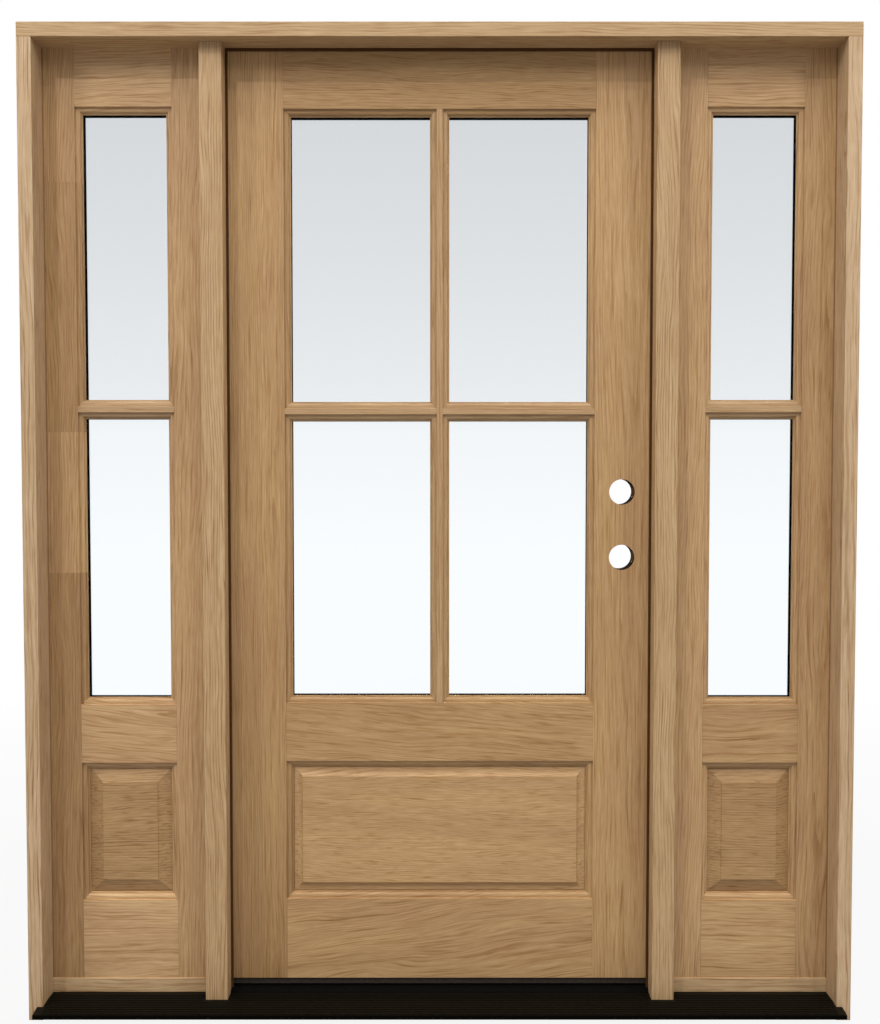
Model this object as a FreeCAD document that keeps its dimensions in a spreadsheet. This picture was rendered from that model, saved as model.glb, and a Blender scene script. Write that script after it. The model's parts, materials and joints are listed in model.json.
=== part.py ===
import FreeCAD, Part
import os
import re

# Prehung oak entry door between two fixed sidelights, seen from outside along +Y.
# X runs to the right, Y into the building, Z up. The origin is under the sill, halfway
# across the unit and halfway through the depth of the frame. All sizes in millimetres.
SIZES = {
    # frame
    "unit_width": 1728,
    "unit_height": 2070,
    "frame_depth": 116,
    "jamb_thick": 30,
    "head_thick": 30,
    "jamb_rabbet": 10,
    "head_rabbet": 12,
    "stop_depth": 65,
    "post_width": 47,
    "post_setback": 25,
    "post_door_rabbet": 13,
    "post_side_rabbet": 14,
    "door_opening": 900,
    # sill
    "sill_height": 31.5,
    "sill_plate": 2.5,
    "sill_fall": 6.5,
    "sill_flat_depth": 22,
    "base_setback": 2,
    "nosing_reach": 30,
    "nosing_lip": 9,
    "nosing_ear": 12.5,
    "nosing_round": 3,
    "rib_pitch": 8,
    "rib_width": 3,
    "rib_height": 1.2,
    "rib_end_gap": 5,
    "cap_front": 56,
    "cap_back": 112,
    "cap_height": 8.5,
    "cap_slope": 6,
    "cap_end_gap": 0.5,
    # leaves: what the door and the sidelights share
    "leaf_thick": 44.5,
    "stick_width": 14,
    "stick_land": 4.5,
    "stick_quirk": 5.5,
    "stick_fillet": 3,
    "muntin_flat": 13,
    "glass_sheet": 4,
    "glass_space": 12,
    "edge_play": 2,
    "spacer_width": 12,
    "bead_nose": 6,
    "panel_reveal": 1,
    "panel_sink": 3,
    "field_step": 1.5,
    "cove_foot": 1.5,
    # door
    "door_gap": 5,
    "door_bottom": 59,
    "door_stile": 129,
    "door_top_rail": 131,
    "door_mid_rail": 126,
    "door_bottom_rail": 174,
    "door_panel_height": 299,
    "door_muntin_drop": 5.5,
    "door_panel_bevel": 20,
    "bore_radius": 27,
    "edge_bore_radius": 12.7,
    "backset": 69.85,
    "latch_rise": 911.5,
    "bore_spacing": 139.7,
    "sweep_depth": 36,
    "sweep_plate": 5,
    "sweep_fin": 4,
    "sweep_gap": 5,
    # sidelights
    "side_gap": 2,
    "side_stile": 78,
    "side_outer_stile": 75,
    "side_top_rail": 131,
    "side_mid_rail": 126,
    "side_bottom_rail": 169.5,
    "side_panel_height": 298,
    "side_muntin_drop": 1.75,
    "side_panel_bevel": 29,
    "filler_height": 30.5,
    "filler_proud": 3,
    "side_stop_width": 14,
    # weatherstrip
    "strip_width": 18,
    "strip_thick": 4,
    # hinges
    "hinge_height": 101.6,
    "hinge_offset": 6,
    "knuckle_radius": 6,
    "knuckle_gap": 0.5,
    "leaf_plate": 2,
    "leaf_reach": 32,
    "pin_radius": 3,
    "pin_play": 0.2,
    "pin_tip_radius": 5,
    "pin_tip_height": 4,
    "hinge_rise": 231,
    "hinge_drop": 217,
}

KNUCKLES = 5
SLOPE_RIBS = 6
FLAT_RIBS = 4
SWEEP_FINS = 4

# Places worked out from the sizes above.
DERIVED = {
    "unit_half": "unit_width / 2",
    "front": "-frame_depth / 2",
    "back": "frame_depth / 2",
    "shoulder": "front + stop_depth",
    "jamb_face": "unit_half - jamb_thick",
    "jamb_back_face": "jamb_face + jamb_rabbet",
    "head_face": "unit_height - head_thick",
    "head_back_face": "head_face + head_rabbet",
    "post_front": "front + post_setback",
    "door_reveal": "door_opening / 2",
    "post_side": "door_reveal + post_width",
    "web_door_face": "door_reveal + post_door_rabbet",
    "web_side_face": "post_side - post_side_rabbet",
    # sill
    "plate_under": "sill_height - sill_plate",
    "slope_start": "front + sill_flat_depth",
    "nosing_front": "front - nosing_reach",
    "nosing_top": "sill_height - sill_fall",
    "nosing_half": "jamb_face + nosing_ear",
    "slope_length": "sill_flat_depth + nosing_reach",
    "nose_line": "nosing_front + nosing_round",
    "nose_line_top": "nosing_top + sill_fall * nosing_round / slope_length",
    "rib_rise": "sill_fall * rib_width / slope_length",
    "frame_front_top": "sill_height - sill_fall * sill_flat_depth / slope_length",
    "base_front": "front + base_setback",
    "base_front_top":
        "plate_under - sill_fall * (sill_flat_depth - base_setback) / slope_length",
    "cap_top": "sill_height + cap_height",
    "cap_half": "door_reveal - cap_end_gap",
    # how a pane or panel is held in a leaf
    "ovolo": "stick_width - stick_land - stick_fillet",
    "stick_depth": "stick_quirk + ovolo + stick_fillet",
    "infill_thick": "2 * glass_sheet + glass_space",
    "bead_depth": "leaf_thick - stick_depth - infill_thick",
    "half_muntin": "muntin_flat / 2",
    # the hollow round the field of the door panel
    "cove_width": "door_panel_bevel - panel_reveal",
    "cove_fall": "stick_depth - panel_sink - field_step - cove_foot",
    "cove_radius": "(cove_width * cove_width + cove_fall * cove_fall) / (2 * cove_fall)",
    # door
    "door_face": "shoulder + door_gap",
    "door_half": "web_door_face - door_gap",
    "door_top": "head_back_face - door_gap",
    "door_stile_edge": "door_half - door_stile",
    "door_bottom_edge": "door_bottom + door_bottom_rail",
    "door_mid_low": "door_bottom_edge + door_panel_height",
    "door_mid_high": "door_mid_low + door_mid_rail",
    "door_top_edge": "door_top - door_top_rail",
    "door_muntin_level": "(door_mid_high + door_top_edge) / 2 - door_muntin_drop",
    "door_muntin_low": "door_muntin_level - half_muntin",
    "door_muntin_high": "door_muntin_level + half_muntin",
    "bore_place": "door_half - backset",
    "latch_level": "door_bottom + latch_rise",
    "sweep_low": "cap_top + sweep_gap",
    "sweep_front": "door_face + (leaf_thick - sweep_depth) / 2",
    "fin_pitch": "(sweep_depth - sweep_fin) / %d" % (SWEEP_FINS - 1),
    # sidelights, on the side of +X
    "side_near": "web_side_face + side_gap",
    "side_far": "jamb_back_face - side_gap",
    "side_near_edge": "side_near + side_stile",
    "side_far_edge": "side_far - side_outer_stile",
    "side_bottom": "sill_height + filler_height",
    "side_top": "head_back_face - side_gap",
    "side_bottom_edge": "side_bottom + side_bottom_rail",
    "side_mid_low": "side_bottom_edge + side_panel_height",
    "side_mid_high": "side_mid_low + side_mid_rail",
    "side_top_edge": "side_top - side_top_rail",
    "side_muntin_level": "(side_mid_high + side_top_edge) / 2 - side_muntin_drop",
    "side_muntin_low": "side_muntin_level - half_muntin",
    "side_muntin_high": "side_muntin_level + half_muntin",
    # hinges, at the left edge of the door
    "hinge_x": "-(door_half + door_gap / 2)",
    "hinge_y": "back + hinge_offset",
    "low_hinge_level": "door_bottom + hinge_rise",
    "high_hinge_level": "door_top - hinge_drop",
    "mid_hinge_level": "(low_hinge_level + high_hinge_level) / 2",
    "knuckle_pitch": "hinge_height / %d" % KNUCKLES,
    "knuckle_height": "knuckle_pitch - knuckle_gap",
    "leaf_root": "hinge_y - knuckle_radius - knuckle_gap",
}

ALONG_X = FreeCAD.Rotation(FreeCAD.Vector(0, 1, 0), 90)
ABOUT_Z = FreeCAD.Vector(0, 0, 1)
UPRIGHT = FreeCAD.Rotation(FreeCAD.Vector(1, 0, 0), 90)

doc = FreeCAD.newDocument("DoorWithSidelights")
sheet = doc.addObject("Spreadsheet::Sheet", "Sizes")
for row, (alias, number) in enumerate(SIZES.items(), 1):
    sheet.set("A%d" % row, alias)
    sheet.set("B%d" % row, str(number))
    sheet.setAlias("B%d" % row, alias)
doc.recompute()

nodes = []


def formula(text):
    """Write out the named sizes and places in an expression as cells of the sheet."""
    def cell(match):
        word = match.group(0)
        if word in SIZES:
            return "Sizes." + word
        return "(" + formula(DERIVED[word]) + ")"
    return re.sub(r"[A-Za-z_]\w*", cell, str(text))


def bind(item, **expressions):
    for prop, text in expressions.items():
        item.setExpression(prop.replace("__", "."), formula(text))
    return item


def put(item, x, y, z):
    return bind(item, Placement__Base__x=x, Placement__Base__y=y, Placement__Base__z=z)


def box(name, x, y, z):
    """A block between a low and a high expression along each axis."""
    item = doc.addObject("Part::Box", name)
    bind(item, Length="(%s) - (%s)" % (x[1], x[0]), Width="(%s) - (%s)" % (y[1], y[0]),
         Height="(%s) - (%s)" % (z[1], z[0]))
    return put(item, x[0], y[0], z[0])


def cylinder(name, centre, radius, height, turn=None, angle=360):
    item = doc.addObject("Part::Cylinder", name)
    item.Angle = angle
    if turn:
        item.Placement = FreeCAD.Placement(FreeCAD.Vector(), turn)
    bind(item, Radius=radius, Height=height)
    return put(item, *centre)


def wedge(name, x, y, z, x2, z2):
    """A block whose X and Z limits change from the low end of Y to the high end."""
    item = doc.addObject("Part::Wedge", name)
    return bind(item, Xmin=x[0], Xmax=x[1], Ymin=y[0], Ymax=y[1], Zmin=z[0], Zmax=z[1],
                X2min=x2[0], X2max=x2[1], Z2min=z2[0], Z2max=z2[1])


def fuse(name, items):
    item = doc.addObject("Part::MultiFuse", name)
    item.Shapes = items
    item.Refine = True
    return item


def cut(name, base, tools):
    for index, tool in enumerate(tools):
        item = doc.addObject("Part::Cut", "%s_cut%d" % (name, index))
        item.Base = base
        item.Tool = tool
        base = item
    return base


def gather(name, items):
    item = doc.addObject("Part::Compound", name)
    item.Links = items
    return item


def node(label, item):
    item.Label = label
    nodes.append(item)
    return item


def sided(side, near, far):
    """A span on the right (1) or, mirrored, on the left (-1) of the middle of the unit."""
    return (near, far) if side > 0 else ("-(%s)" % far, "-(%s)" % near)


def inset(span, by):
    return ("(%s) + (%s)" % (span[0], by), "(%s) - (%s)" % (span[1], by))


def ovolo_on_side(name, edge, side, face, z):
    """Moulding along an upright edge: a sunk land, a quarter round, a fillet at the pane."""
    floor = "%s + stick_depth" % face
    foot = "%s - stick_fillet" % floor
    root = "(%s) + %d * stick_land" % (edge, side)
    land = box(name + "_land", sorted_span(edge, side, "stick_land"),
               ("%s + stick_quirk" % face, floor), z)
    fillet = box(name + "_fillet", sorted_span(root, side, "(ovolo + stick_fillet)"),
                 (foot, floor), z)
    turn = FreeCAD.Rotation(ABOUT_Z, -90 if side > 0 else 180)
    quarter = cylinder(name + "_round", (root, foot, z[0]), "ovolo",
                       "(%s) - (%s)" % (z[1], z[0]), turn, 90)
    return [land, fillet, quarter]


def ovolo_on_level(name, edge, side, face, x):
    """The same moulding along a level edge, above (1) or below (-1) the rail."""
    floor = "%s + stick_depth" % face
    foot = "%s - stick_fillet" % floor
    root = "(%s) + %d * stick_land" % (edge, side)
    land = box(name + "_land", x, ("%s + stick_quirk" % face, floor),
               sorted_span(edge, side, "stick_land"))
    fillet = box(name + "_fillet", x, (foot, floor),
                 sorted_span(root, side, "(ovolo + stick_fillet)"))
    turn = ALONG_X.multiply(FreeCAD.Rotation(ABOUT_Z, 180 if side > 0 else -90))
    quarter = cylinder(name + "_round", (x[0], foot, root), "ovolo",
                       "(%s) - (%s)" % (x[1], x[0]), turn, 90)
    return [land, fillet, quarter]


def sorted_span(edge, side, width):
    other = "(%s) + %d * %s" % (edge, side, width)
    return (edge, other) if side > 0 else (other, edge)


def upright(label, x, z, face, low_stick=False, high_stick=False, coped_to=(), bores=()):
    """A stile or upright bar with the moulding on the edges that face a pane."""
    parts = [box(label + "_core", x, (face, "%s + leaf_thick" % face), z)]
    if low_stick:
        parts += ovolo_on_side(label + "_low", x[0], -1, face, z)
    if high_stick:
        parts += ovolo_on_side(label + "_high", x[1], 1, face, z)
    return node(label, cut(label, fuse(label + "_blank", parts), list(bores) + list(coped_to)))


def rail(label, x, z, face, low_stick=False, high_stick=False, coped_to=()):
    """A level member, its ends coped over the moulding of the members that it meets."""
    parts = [box(label + "_core", x, (face, "%s + leaf_thick" % face), z)]
    if low_stick:
        parts += ovolo_on_level(label + "_low", z[0], -1, face, x)
    if high_stick:
        parts += ovolo_on_level(label + "_high", z[1], 1, face, x)
    return node(label, cut(label, fuse(label + "_blank", parts), coped_to))


def sheets(name, x, z, face):
    """The two sheets of an insulating pane, bedded against the back of the moulding."""
    wide, tall = inset(x, "edge_play"), inset(z, "edge_play")
    outer = "%s + stick_depth" % face
    inner = "%s + stick_depth + glass_sheet + glass_space" % face
    return [box("%s_%s" % (name, word), wide, (start, "%s + glass_sheet" % start), tall)
            for word, start in (("outer", outer), ("inner", inner))]


def spacer(name, x, z, face):
    """The dark bar that runs round between the sheets, out to the sight line."""
    start = "%s + stick_depth + glass_sheet" % face
    y = (start, "%s + glass_space" % start)
    ring = box(name + "_ring", inset(x, "edge_play"), y, inset(z, "edge_play"))
    sight = "edge_play + spacer_width"
    hole = box(name + "_hole", inset(x, sight), y, inset(z, sight))
    return cut(name, ring, [hole])


def bead(name, x, z, face):
    """A splayed bead that closes the rabbet from indoors, mitred all round."""
    start = "%s + stick_depth + infill_thick" % face
    y = (start, "%s + bead_depth" % start)
    ring = box(name + "_ring", x, y, z)
    wide, tall = inset(x, "stick_width"), inset(z, "stick_width")
    hole = wedge(name + "_hole", wide, y, tall, inset(x, "bead_nose"), inset(z, "bead_nose"))
    return cut(name, ring, [hole])


def coved(name, x, y, z):
    """A block with a hollow run along each edge of its front, from the tongue up to the field."""
    level = "%s - cove_foot - cove_radius" % y[1]
    tall = "(%s) - (%s) + 2 * cove_radius" % (z[1], z[0])
    wide = "(%s) - (%s) + 2 * cove_radius" % (x[1], x[0])
    start = ["%s - cove_radius" % span[0] for span in (x, z)]
    hollows = [cylinder("%s_upright%d" % (name, index), (edge, level, start[1]), "cove_radius", tall)
               for index, edge in enumerate(x)]
    hollows += [cylinder("%s_level%d" % (name, index), (start[0], level, edge), "cove_radius", wide,
                         ALONG_X)
                for index, edge in enumerate(z)]
    return cut(name, box(name + "_block", x, y, z), hollows)


def panel(label, x, z, face, bevel, hollow=False):
    """A solid panel, raised and fielded on both faces, with a small shoulder round the field."""
    tongue = ("%s + stick_depth" % face, "%s + stick_depth + infill_thick" % face)
    slab = box(label + "_tongue", inset(x, "edge_play"), tongue, inset(z, "edge_play"))
    foot = "stick_width + panel_reveal"
    field = "stick_width + %s" % bevel
    outer = "%s + panel_sink" % face
    inner = "%s + leaf_thick - panel_sink" % face
    front = (outer + " + field_step", tongue[0])
    if hollow:
        outside = coved(label + "_outside", inset(x, foot), front, inset(z, foot))
    else:
        outside = wedge(label + "_outside", inset(x, field), front, inset(z, field),
                        inset(x, foot), inset(z, foot))
    inside = wedge(label + "_inside", inset(x, foot), (tongue[1], inner + " - field_step"),
                   inset(z, foot), inset(x, field), inset(z, field))
    raised = box(label + "_field", inset(x, field), (outer, inner), inset(z, field))
    return node(label, fuse(label, [slab, outside, inside, raised]))


def make_frame():
    full_depth = ("front", "back")
    head = box("head_blank", ("-unit_half", "unit_half"), full_depth, ("head_face", "unit_height"))
    rabbet = box("head_rabbet_cut", ("-jamb_back_face", "jamb_back_face"), ("shoulder", "back"),
                 ("head_face", "head_back_face"))
    node("head_jamb", cut("head_jamb", head, [rabbet]))
    for side, word in ((-1, "left"), (1, "right")):
        blank = box(word + "_jamb_blank", sided(side, "jamb_face", "unit_half"), full_depth,
                    ("0", "head_face"))
        rabbet = box(word + "_jamb_rabbet", sided(side, "jamb_face", "jamb_back_face"),
                     ("shoulder", "back"), ("sill_height", "head_face"))
        node(word + "_jamb", cut(word + "_jamb", blank, [rabbet]))
        flange = box(word + "_post_flange", sided(side, "door_reveal", "post_side"),
                     ("post_front", "shoulder"), ("sill_height", "head_face"))
        web = box(word + "_post_web", sided(side, "web_door_face", "web_side_face"),
                  ("shoulder", "back"), ("sill_height", "head_back_face"))
        node(word + "_post", fuse(word + "_post", [flange, web]))


def tread_ribs():
    """Level anti-slip ribs: across the whole slope, and on the flat between the frame members."""
    ribs = []
    for count in range(SLOPE_RIBS):
        start = "slope_start - %d * rib_pitch" % (count + 1)
        low = "sill_height - sill_fall * rib_pitch * %d / slope_length" % (count + 1)
        across = inset(("-jamb_face", "jamb_face"), "rib_end_gap")
        ribs.append(wedge("slope_rib%d" % count, across, (start, start + " + rib_width"),
                          (low + " - sill_plate", low + " + rib_height"), across,
                          (low + " + rib_rise - sill_plate", low + " + rib_rise + rib_height")))
    bays = {"left": ("-jamb_face", "-post_side"), "door": ("-door_reveal", "door_reveal"),
            "right": ("post_side", "jamb_face")}
    for word, bay in bays.items():
        for count in range(FLAT_RIBS):
            start = "slope_start + %d * rib_pitch" % count
            ribs.append(box("%s_flat_rib%d" % (word, count), inset(bay, "rib_end_gap"),
                            (start, start + " + rib_width"),
                            ("plate_under", "sill_height + rib_height")))
    return ribs


def make_sill():
    between = ("-jamb_face", "jamb_face")
    rear = box("base_rear", between, ("slope_start", "back"), ("0", "plate_under"))
    nose = wedge("base_nose", between, ("base_front", "slope_start"), ("0", "base_front_top"),
                 between, ("0", "plate_under"))
    node("sill_base", fuse("sill_base", [rear, nose]))

    flat = box("tread_flat", between, ("slope_start", "back"), ("plate_under", "sill_height"))
    nose_plate = ("nose_line_top - sill_plate", "nose_line_top")
    slope = wedge("tread_slope", between, ("nose_line", "slope_start"), nose_plate, between,
                  ("plate_under", "sill_height"))
    ears = ("-nosing_half", "nosing_half")
    wings = wedge("tread_wings", ears, ("nose_line", "front"), nose_plate, ears,
                  ("frame_front_top - sill_plate", "frame_front_top"))
    nose_centre = "nose_line_top - nosing_round"
    lip = box("tread_lip", ears, ("nosing_front", "nosing_front + sill_plate"),
              ("nosing_top - nosing_lip", nose_centre))
    rounding = cylinder("tread_rounding", (ears[0], "nose_line", nose_centre), "nosing_round",
                        "2 * nosing_half", ALONG_X)
    node("sill_tread", fuse("sill_tread", [flat, slope, wings, lip, rounding] + tread_ribs()))

    # The cap stands on its foot with its front and back leaning in, so it is made lying
    # down, with its height along Y, and then turned upright.
    across = ("-cap_half", "cap_half")
    foot = ("-(front + cap_back)", "-(front + cap_front)")
    cap = wedge("threshold_cap", across, ("sill_height", "cap_top"), foot, across,
                inset(foot, "cap_slope"))
    cap.Placement = FreeCAD.Placement(FreeCAD.Vector(), UPRIGHT)
    node("threshold_cap", cap)

    fillers = []
    rise = ("sill_height", "side_bottom")
    for side, word in ((-1, "left"), (1, "right")):
        seat = box(word + "_filler_seat", sided(side, "web_side_face", "jamb_back_face"),
                   ("shoulder", "back"), rise)
        nose = box(word + "_filler_nose", sided(side, "post_side", "jamb_face"),
                   ("shoulder - filler_proud", "shoulder"), rise)
        fillers.append(fuse(word + "_filler", [seat, nose]))
    node("sidelight_fillers", gather("sidelight_fillers", fillers))


def make_weatherstrip():
    """A soft strip round the doorway on three sides, with a rounded lip towards the opening."""
    depth = ("shoulder", "shoulder + strip_thick")
    lip_depth = "shoulder + strip_thick / 2"
    lip = "web_door_face - strip_width + strip_thick / 2"
    top_lip = "head_back_face - strip_width + strip_thick / 2"
    pieces = []
    for side, word in ((-1, "left"), (1, "right")):
        pieces.append(box(word + "_strip", sided(side, lip, "web_door_face"), depth,
                          ("cap_top", "head_back_face")))
        pieces.append(cylinder(word + "_strip_lip", ("%d * (%s)" % (side, lip), lip_depth, "cap_top"),
                               "strip_thick / 2", "head_back_face - cap_top"))
    pieces.append(box("top_strip", ("-(%s)" % lip, lip), depth, (top_lip, "head_back_face")))
    pieces.append(cylinder("top_strip_lip", ("-(%s)" % lip, lip_depth, top_lip), "strip_thick / 2",
                           "2 * (%s)" % lip, ALONG_X))
    node("door_weatherstrip", fuse("door_weatherstrip", pieces))


def make_sidelight(side, word):
    face = "shoulder"
    name = word + "_sidelight"
    height = ("side_bottom", "side_top")
    far = sided(side, "side_far_edge", "side_far")
    near = sided(side, "side_near", "side_near_edge")
    outer = upright(name + "_outer_stile", far, height, face, low_stick=side > 0, high_stick=side < 0)
    inner = upright(name + "_inner_stile", near, height, face, low_stick=side < 0, high_stick=side > 0)
    stiles = [outer, inner]
    between = sided(side, "side_near_edge", "side_far_edge")
    rail(name + "_top_rail", between, ("side_top_edge", "side_top"), face,
         low_stick=True, coped_to=stiles)
    rail(name + "_mid_rail", between, ("side_mid_low", "side_mid_high"), face,
         low_stick=True, high_stick=True, coped_to=stiles)
    rail(name + "_bottom_rail", between, ("side_bottom", "side_bottom_edge"), face,
         high_stick=True, coped_to=stiles)
    rail(name + "_muntin", between, ("side_muntin_low", "side_muntin_high"), face,
         low_stick=True, high_stick=True, coped_to=stiles)
    low_panel = ("side_bottom_edge", "side_mid_low")
    panel(name + "_panel", between, low_panel, face, "side_panel_bevel")
    panes = {"low": ("side_mid_high", "side_muntin_low"), "high": ("side_muntin_high", "side_top_edge")}
    glass = []
    for level, z in panes.items():
        glass += sheets("%s_%s_glass" % (name, level), between, z, face)
    node(name + "_glass", gather(name + "_glass", glass))
    spacers = [spacer("%s_%s_spacer" % (name, level), between, z, face) for level, z in panes.items()]
    node(name + "_spacers", gather(name + "_spacers", spacers))
    panes["panel"] = low_panel
    beads = [bead("%s_%s_bead" % (name, level), between, z, face) for level, z in panes.items()]
    node(name + "_beads", gather(name + "_beads", beads))


def make_sidelight_stops():
    """Square stops that hold each sidelight in its rabbet from indoors."""
    rings = []
    for side, word in ((-1, "left"), (1, "right")):
        x = sided(side, "web_side_face", "jamb_back_face")
        y = ("shoulder + leaf_thick", "back")
        z = ("side_bottom", "head_back_face")
        ring = box(word + "_stop_ring", x, y, z)
        hole = box(word + "_stop_hole", inset(x, "side_stop_width"), y, inset(z, "side_stop_width"))
        rings.append(cut(word + "_stop", ring, [hole]))
    node("sidelight_stops", gather("sidelight_stops", rings))


def make_lock_bores():
    bores = []
    through = UPRIGHT.inverted()
    inward = FreeCAD.Rotation(FreeCAD.Vector(0, 1, 0), 90)
    for word, level in (("latch", "latch_level"), ("bolt", "latch_level + bore_spacing")):
        bores.append(cylinder(word + "_bore", ("bore_place", "door_face", level),
                              "bore_radius", "leaf_thick", through))
        bores.append(cylinder(word + "_edge_bore",
                              ("bore_place", "door_face + leaf_thick / 2", level),
                              "edge_bore_radius", "backset", inward))
    return bores


def make_door():
    face = "door_face"
    height = ("door_bottom", "door_top")
    left = ("-door_half", "-door_stile_edge")
    right = ("door_stile_edge", "door_half")
    hinge_stile = upright("door_hinge_stile", left, height, face, high_stick=True)
    latch_stile = upright("door_latch_stile", right, height, face, low_stick=True,
                          bores=make_lock_bores())
    stiles = [hinge_stile, latch_stile]
    between = ("-door_stile_edge", "door_stile_edge")
    top = rail("door_top_rail", between, ("door_top_edge", "door_top"), face,
               low_stick=True, coped_to=stiles)
    mid = rail("door_mid_rail", between, ("door_mid_low", "door_mid_high"), face,
               low_stick=True, high_stick=True, coped_to=stiles)
    rail("door_bottom_rail", between, ("door_bottom", "door_bottom_edge"), face,
         high_stick=True, coped_to=stiles)
    middle = upright("door_upright_muntin", ("-half_muntin", "half_muntin"),
                     ("door_mid_high", "door_top_edge"), face,
                     low_stick=True, high_stick=True, coped_to=[mid, top])
    low_panel = ("door_bottom_edge", "door_mid_low")
    panel("door_panel", between, low_panel, face, "door_panel_bevel", hollow=True)
    levels = {"low": ("door_mid_high", "door_muntin_low"), "high": ("door_muntin_high", "door_top_edge")}
    columns = {"left": ("-door_stile_edge", "-half_muntin"), "right": ("half_muntin", "door_stile_edge")}
    glass, spacers, beads = [], [], [bead("door_panel_bead", between, low_panel, face)]
    for word, x in columns.items():
        rail("door_%s_muntin" % word, x, ("door_muntin_low", "door_muntin_high"), face,
             low_stick=True, high_stick=True, coped_to=[middle] + stiles)
        for level, z in levels.items():
            name = "door_%s_%s" % (level, word)
            glass += sheets(name + "_glass", x, z, face)
            spacers.append(spacer(name + "_spacer", x, z, face))
            beads.append(bead(name + "_bead", x, z, face))
    node("door_glass", gather("door_glass", glass))
    node("door_spacers", gather("door_spacers", spacers))
    node("door_beads", gather("door_beads", beads))
    make_sweep()


def make_sweep():
    """A strip under the door with fins that hang towards the threshold cap."""
    across = ("-door_half", "door_half")
    parts = [box("sweep_strip", across, ("sweep_front", "sweep_front + sweep_depth"),
                 ("door_bottom - sweep_plate", "door_bottom"))]
    for count in range(SWEEP_FINS):
        start = "sweep_front + %d * fin_pitch" % count
        parts.append(box("sweep_fin%d" % count, across, (start, start + " + sweep_fin"),
                         ("sweep_low", "door_bottom - sweep_plate")))
    node("door_sweep", fuse("door_sweep", parts))


def make_hinges():
    """Three butt hinges: plates in the gap beside the door, knuckles by turns on each leaf."""
    plates = {
        "frame": ("-web_door_face", "-web_door_face + leaf_plate", range(0, KNUCKLES, 2)),
        "door": ("-door_half - leaf_plate", "-door_half", range(1, KNUCKLES, 2)),
    }
    leaves = {owner: [] for owner in plates}
    pins = []
    for word in ("low", "mid", "high"):
        foot = "%s_hinge_level - hinge_height / 2" % word
        bore = cylinder(word + "_pin_bore", ("hinge_x", "hinge_y", foot),
                        "pin_radius + pin_play", "hinge_height")
        for owner, (x0, x1, turns) in plates.items():
            name = "%s_%s_leaf" % (word, owner)
            parts = [box(name + "_plate", (x0, x1), ("leaf_root - leaf_reach", "leaf_root"),
                         (foot, "%s + hinge_height" % foot))]
            for turn in turns:
                low = "%s + %d * knuckle_pitch + knuckle_gap / 2" % (foot, turn)
                rise = (low, "%s + knuckle_height" % low)
                parts.append(box("%s_neck%d" % (name, turn), (x0, x1), ("leaf_root", "hinge_y"), rise))
                parts.append(cylinder("%s_knuckle%d" % (name, turn), ("hinge_x", "hinge_y", low),
                                      "knuckle_radius", "knuckle_height"))
            leaves[owner].append(cut(name, fuse(name + "_blank", parts), [bore]))
        shank = cylinder(word + "_pin_shank", ("hinge_x", "hinge_y", foot), "pin_radius", "hinge_height")
        ends = [cylinder("%s_pin_%s" % (word, end), ("hinge_x", "hinge_y", low),
                         "pin_tip_radius", "pin_tip_height")
                for end, low in (("foot", foot + " - pin_tip_height"),
                                 ("head", foot + " + hinge_height"))]
        pins.append(fuse(word + "_pin", [shank] + ends))
    node("hinge_frame_leaves", gather("hinge_frame_leaves", leaves["frame"]))
    node("hinge_door_leaves", gather("hinge_door_leaves", leaves["door"]))
    node("hinge_pins", gather("hinge_pins", pins))


make_frame()
make_sill()
make_weatherstrip()
for side, word in ((-1, "left"), (1, "right")):
    make_sidelight(side, word)
make_sidelight_stops()
make_door()
make_hinges()
doc.recompute()

failed = [item.Name for item in doc.Objects if "Invalid" in item.State or "Error" in item.State]
if failed:
    raise SystemExit("failed objects: %s" % ", ".join(failed))
for item in nodes:
    if item.Shape.isNull() or not item.Shape.isValid() or not item.Shape.Solids:
        raise SystemExit("bad shape: %s" % item.Label)

os.makedirs("parts", exist_ok=True)
for item in nodes:
    item.Shape.exportStep("parts/%s.step" % item.Label)
print("%d nodes, %d solids" % (len(nodes), sum(len(item.Shape.Solids) for item in nodes)))
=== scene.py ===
import json
import math
import random

import bmesh
import bpy
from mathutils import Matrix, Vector


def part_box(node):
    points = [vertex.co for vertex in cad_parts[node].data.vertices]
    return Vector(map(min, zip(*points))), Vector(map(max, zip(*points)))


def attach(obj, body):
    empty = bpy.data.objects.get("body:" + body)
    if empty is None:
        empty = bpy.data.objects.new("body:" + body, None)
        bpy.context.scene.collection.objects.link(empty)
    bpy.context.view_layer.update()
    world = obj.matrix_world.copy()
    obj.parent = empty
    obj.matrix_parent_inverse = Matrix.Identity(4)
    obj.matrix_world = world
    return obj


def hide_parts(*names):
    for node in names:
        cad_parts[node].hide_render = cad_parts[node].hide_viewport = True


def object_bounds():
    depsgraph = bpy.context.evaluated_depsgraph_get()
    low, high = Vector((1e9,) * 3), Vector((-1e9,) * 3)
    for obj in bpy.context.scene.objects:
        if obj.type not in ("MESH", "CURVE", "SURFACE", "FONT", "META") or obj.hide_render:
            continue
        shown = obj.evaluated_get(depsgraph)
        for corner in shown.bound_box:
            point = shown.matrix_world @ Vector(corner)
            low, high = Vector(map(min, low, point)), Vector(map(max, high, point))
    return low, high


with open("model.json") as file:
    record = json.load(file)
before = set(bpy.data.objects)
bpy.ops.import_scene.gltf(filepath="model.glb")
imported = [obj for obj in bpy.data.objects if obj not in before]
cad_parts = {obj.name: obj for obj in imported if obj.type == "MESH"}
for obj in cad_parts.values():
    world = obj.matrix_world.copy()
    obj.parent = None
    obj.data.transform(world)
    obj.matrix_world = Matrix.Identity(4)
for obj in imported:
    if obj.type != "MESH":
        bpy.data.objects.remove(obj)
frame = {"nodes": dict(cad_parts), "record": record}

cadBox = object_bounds()
millimetre = 0.001
noiseSpan = (0.35, 0.65)                       # nearly all of a noise lies between these
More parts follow.
